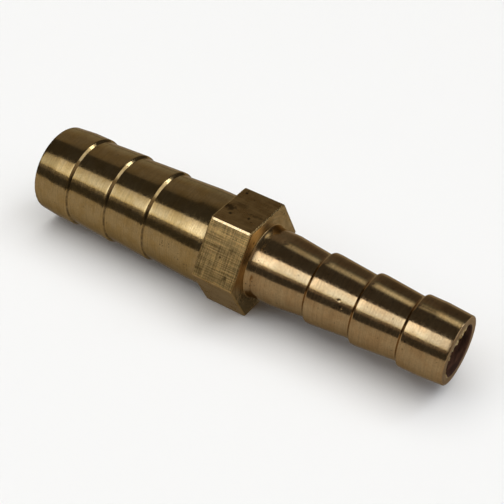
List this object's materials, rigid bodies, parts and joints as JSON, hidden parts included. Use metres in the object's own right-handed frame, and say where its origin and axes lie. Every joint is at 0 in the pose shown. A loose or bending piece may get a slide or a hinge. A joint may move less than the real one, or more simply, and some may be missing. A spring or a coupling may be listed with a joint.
{
  "type": "reducing hose connector",
  "caption": "Straight brass hose connector: a hexagon between a barbed tail for a wider hose and a barbed tail for a narrower one, drilled through from tip to tip.",
  "frame": {"origin": "the middle of the hexagon on the axis of the bore", "axes": "+X along the axis towards the small tail's tip, +Z out of the flat of the hexagon that faces up"},
  "size_m": [0.0628, 0.016, 0.014],
  "materials": {
    "brass": "turned, drawn flats"
  },
  "bodies": {
    "root": {"reducing_connector": "brass"}
  },
  "joints": []
}
